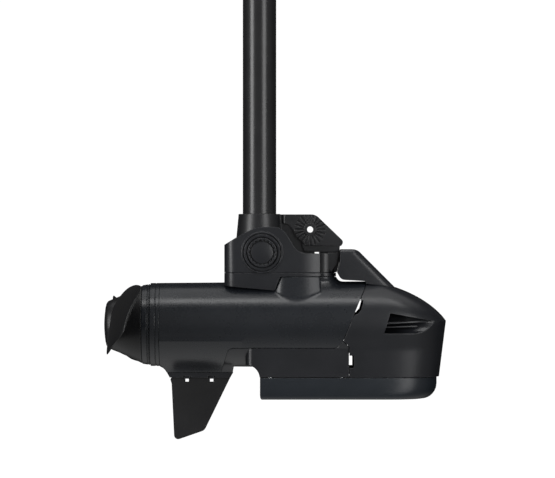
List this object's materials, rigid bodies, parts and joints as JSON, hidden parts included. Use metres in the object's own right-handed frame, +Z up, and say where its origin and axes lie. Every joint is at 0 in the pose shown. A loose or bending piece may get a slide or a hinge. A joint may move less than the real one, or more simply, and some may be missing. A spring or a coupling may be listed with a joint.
{
  "type": "trolling motor lower unit",
  "caption": "Underwater unit of an electric trolling motor: steering shaft, coupler, sealed motor with a two-blade propeller, sonar pod and breakaway skeg.",
  "frame": {"origin": "centre of the steering shaft's top end", "axes": "+Z up along the steering shaft, +X forward along the motor's axis, so the propeller is at -X"},
  "size_m": [0.3753, 0.264, 0.4961],
  "materials": {
    "shaft_composite": "satin wound composite",
    "painted_casting": "satin black powder coat",
    "coupler_casting": "fine textured black paint",
    "moulded_black": "fine grained glass-filled nylon",
    "pod_plastic": "smooth satin plastic",
    "prop_plastic": "satin composite",
    "stainless": "turned",
    "bearing_steel": "ground",
    "lamination_steel": "stacked laminations",
    "winding_copper": "enamelled wire",
    "magnet": "nickel plated",
    "aluminium_part": "machined",
    "seal_rubber": "smooth",
    "circuit_board": "solder mask",
    "component_black": "moulded epoxy",
    "ceramic": "fired ceramic",
    "lead_jacket": "smooth jacket"
  },
  "bodies": {
    "motor_unit": {"shaft_tube": "shaft_composite", "shaft_coupler": "coupler_casting", "coupler_screws": "stainless", "side_cover_right": "moulded_black", "side_cover_left": "moulded_black", "cover_screws": "stainless", "base_collar": "moulded_black", "cable_arm": "moulded_black", "arm_screws": "stainless", "motor_housing": "painted_casting", "lead_gland": "seal_rubber", "rear_bell": "painted_casting", "bell_seal_ring": "seal_rubber", "bell_screws": "stainless", "prop_shaft_seal": "seal_rubber", "bearing_outer_races": "bearing_steel", "stator_core": "lamination_steel", "stator_coils": "winding_copper", "front_bulkhead": "aluminium_part", "sensor_board": "circuit_board", "controller_board": "circuit_board", "board_mosfets": "component_black", "board_capacitors": "component_black", "heat_sink": "aluminium_part", "front_cap": "aluminium_part", "cap_seal_ring": "seal_rubber", "snap_ring": "stainless", "lower_fairing": "moulded_black", "nose_cone": "moulded_black", "sonar_pod": "pod_plastic", "pod_lid": "pod_plastic", "pod_screws": "stainless", "chirp_element": "ceramic", "scan_elements": "ceramic", "temperature_stud": "stainless", "skeg_rail": "moulded_black", "rail_screws": "stainless", "skeg": "prop_plastic", "skeg_latches": "moulded_black", "motor_lead": "lead_jacket", "sonar_lead": "lead_jacket", "lead_connectors": "component_black"},
    "rotor": {"propeller": "prop_plastic", "drive_pin": "stainless", "prop_washer": "stainless", "prop_nut": "stainless", "hub_cap": "prop_plastic", "prop_shaft": "stainless", "rotor_core": "lamination_steel", "rotor_magnets": "magnet", "bearing_inner_races": "bearing_steel", "sensor_magnet": "magnet"},
    "ball_sets": {"bearing_balls": "bearing_steel", "bearing_cages": "bearing_steel"},
    "port_seal": {"port_seal": "seal_rubber"},
    "port_cap": {"port_cap": "moulded_black"}
  },
  "joints": [
    {"name": "prop_spin", "type": "hinge", "parent": "motor_unit", "child": "rotor", "pos_m": [-0.1465, 0, -0.37], "axis": [1, 0, 0], "continuous": true},
    {"name": "ball_spin", "type": "hinge", "parent": "motor_unit", "child": "ball_sets", "pos_m": [-0.107, 0, -0.37], "axis": [1, 0, 0], "continuous": true},
    {"name": "cap_travel", "type": "slide", "parent": "motor_unit", "child": "port_seal", "axis": [0, -1, 0], "range_m": [0, 0.0105]},
    {"name": "cap_turn", "type": "hinge", "parent": "port_seal", "child": "port_cap", "pos_m": [0.003, -0.032, -0.2907], "axis": [0, -1, 0], "range_deg": [0, 1260]}
  ],
  "couplings": [
    {"joint": "ball_spin", "follows": "prop_spin", "ratio": 0.3825},
    {"joint": "cap_travel", "follows": "cap_turn", "m_per_rad": 0.00047746}
  ]
}
